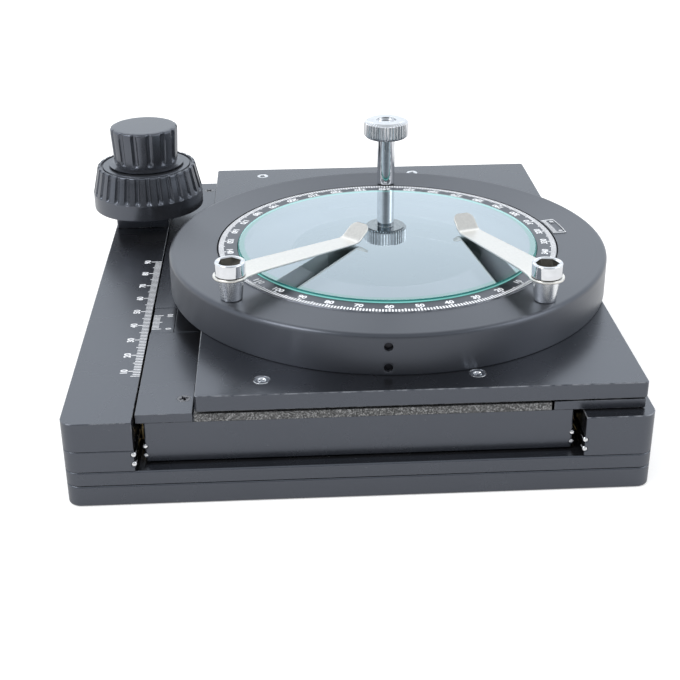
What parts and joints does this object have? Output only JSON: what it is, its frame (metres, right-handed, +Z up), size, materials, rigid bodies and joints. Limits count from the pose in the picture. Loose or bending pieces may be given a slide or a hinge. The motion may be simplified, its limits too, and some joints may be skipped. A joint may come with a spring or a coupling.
{
  "type": "microscope xy stage",
  "caption": "Low microscope stage that slides in X and Y on ball ways, driven by coaxial knobs, with a graduated rotating glass turntable, two spring clips and a knurled lock screw.",
  "frame": {"origin": "axis of the light bore in the base, at the base's resting face", "axes": "+Z up, +Y away from the scale end towards the knob end, +X to the right with the scale plate on the left"},
  "size_m": [0.168, 0.1895, 0.0646],
  "materials": {
    "dark_anodised": "satin black anodised",
    "turntable_anodised": "satin black anodised, turned",
    "textured_strip": "bead blasted",
    "race_steel": "ground and polished",
    "machined_steel": "machined",
    "bright_chrome": "bright chrome plated",
    "satin_nickel": "satin nickel plated",
    "cage_brass": "milled",
    "knob_black": "semi gloss",
    "glass": "polished, clear"
  },
  "bodies": {
    "base": {"bottom_plate": "dark_anodised", "base_plate": "dark_anodised", "base_screws": "machined_steel", "left_rail_block": "dark_anodised", "left_scale_plate": "dark_anodised", "right_rail_block": "dark_anodised", "y_fixed_rods": "race_steel", "knob_seat": "dark_anodised", "shaft_bush": "cage_brass"},
    "y_slide": {"y_slide": "dark_anodised", "y_moving_rods": "race_steel", "x_fixed_rods": "race_steel", "vernier_cover_front": "dark_anodised", "vernier_cover_rear": "dark_anodised", "vernier_plate": "dark_anodised", "right_cover": "dark_anodised", "wiper_strip_front": "textured_strip", "wiper_strip_rear": "textured_strip", "cover_screws": "machined_steel", "y_rack": "machined_steel"},
    "x_slide": {"x_plate": "dark_anodised", "x_bar_front": "dark_anodised", "x_bar_rear": "dark_anodised", "x_moving_rods": "race_steel", "x_plate_screws": "bright_chrome", "x_rack": "machined_steel", "ring_flange": "turntable_anodised", "ring_housing": "turntable_anodised", "housing_set_screws": "machined_steel", "bearing_ring": "cage_brass", "clip_sleeve_left": "bright_chrome", "clip_screw_left": "bright_chrome", "clip_sleeve_right": "bright_chrome", "clip_screw_right": "bright_chrome"},
    "rotor": {"dial_ring": "turntable_anodised", "glass_disc": "glass", "retaining_ring": "turntable_anodised"},
    "left_clip": {"left_clip": "satin_nickel"},
    "right_clip": {"right_clip": "satin_nickel"},
    "lock_screw": {"lock_screw": "bright_chrome"},
    "y_drive": {"y_knob": "knob_black", "y_shaft": "machined_steel"},
    "x_drive": {"x_knob": "knob_black", "x_shaft": "machined_steel"},
    "x_cross_shaft": {"x_cross_shaft": "machined_steel"},
    "x_long_pinion": {"x_long_pinion": "machined_steel"},
    "y_cages": {"y_ball_cages": "cage_brass", "y_balls": "race_steel"},
    "x_cages": {"x_ball_cages": "cage_brass", "x_balls": "race_steel"}
  },
  "joints": [
    {"name": "y_travel", "type": "slide", "parent": "base", "child": "y_slide", "axis": [0, 1, 0], "range_m": [-0.027, 0.023]},
    {"name": "x_travel", "type": "slide", "parent": "y_slide", "child": "x_slide", "axis": [1, 0, 0], "range_m": [-0.008, 0.016]},
    {"name": "turntable", "type": "hinge", "parent": "x_slide", "child": "rotor", "pos_m": [-0.0067, 0.0021, 0.0399], "axis": [0, 0, 1], "continuous": true},
    {"name": "left_clip_swing", "type": "hinge", "parent": "x_slide", "child": "left_clip", "pos_m": [-0.0543, -0.03841, 0.05], "axis": [0, 0, 1], "range_deg": [-10, 60]},
    {"name": "right_clip_swing", "type": "hinge", "parent": "x_slide", "child": "right_clip", "pos_m": [0.03381, -0.0455, 0.05], "axis": [0, 0, 1], "range_deg": [-60, 10]},
    {"name": "lock_turn", "type": "hinge", "parent": "x_slide", "child": "lock_screw", "pos_m": [-0.00223, 0.05762, 0.05], "axis": [0, 0, 1], "range_deg": [0, 120]},
    {"name": "y_knob_turn", "type": "hinge", "parent": "base", "child": "y_drive", "pos_m": [-0.0876, 0.0744, 0.0385], "axis": [0, 0, 1], "range_deg": [-258, 220]},
    {"name": "x_knob_turn", "type": "hinge", "parent": "base", "child": "x_drive", "pos_m": [-0.0876, 0.0744, 0.0534], "axis": [0, 0, 1], "range_deg": [-102, 204]},
    {"name": "cross_shaft_turn", "type": "hinge", "parent": "base", "child": "x_cross_shaft", "pos_m": [-0.06, 0.0744, 0.007], "axis": [1, 0, 0], "range_deg": [-204, 102]},
    {"name": "long_pinion_turn", "type": "hinge", "parent": "base", "child": "x_long_pinion", "pos_m": [-0.035, 0.036, 0.007], "axis": [0, 1, 0], "range_deg": [-102, 204]},
    {"name": "y_cage_travel", "type": "slide", "parent": "base", "child": "y_cages", "axis": [0, 1, 0], "range_m": [-0.0136, 0.0116]},
    {"name": "x_cage_travel", "type": "slide", "parent": "y_slide", "child": "x_cages", "axis": [1, 0, 0], "range_m": [-0.0041, 0.0081]}
  ],
  "couplings": [
    {"joint": "y_knob_turn", "follows": "y_travel", "rad_per_m": 166.67},
    {"joint": "y_cage_travel", "follows": "y_travel", "ratio": 0.5},
    {"joint": "x_knob_turn", "follows": "x_travel", "rad_per_m": 222.22},
    {"joint": "cross_shaft_turn", "follows": "x_travel", "rad_per_m": -222.22},
    {"joint": "long_pinion_turn", "follows": "x_travel", "rad_per_m": 222.22},
    {"joint": "x_cage_travel", "follows": "x_travel", "ratio": 0.5}
  ]
}
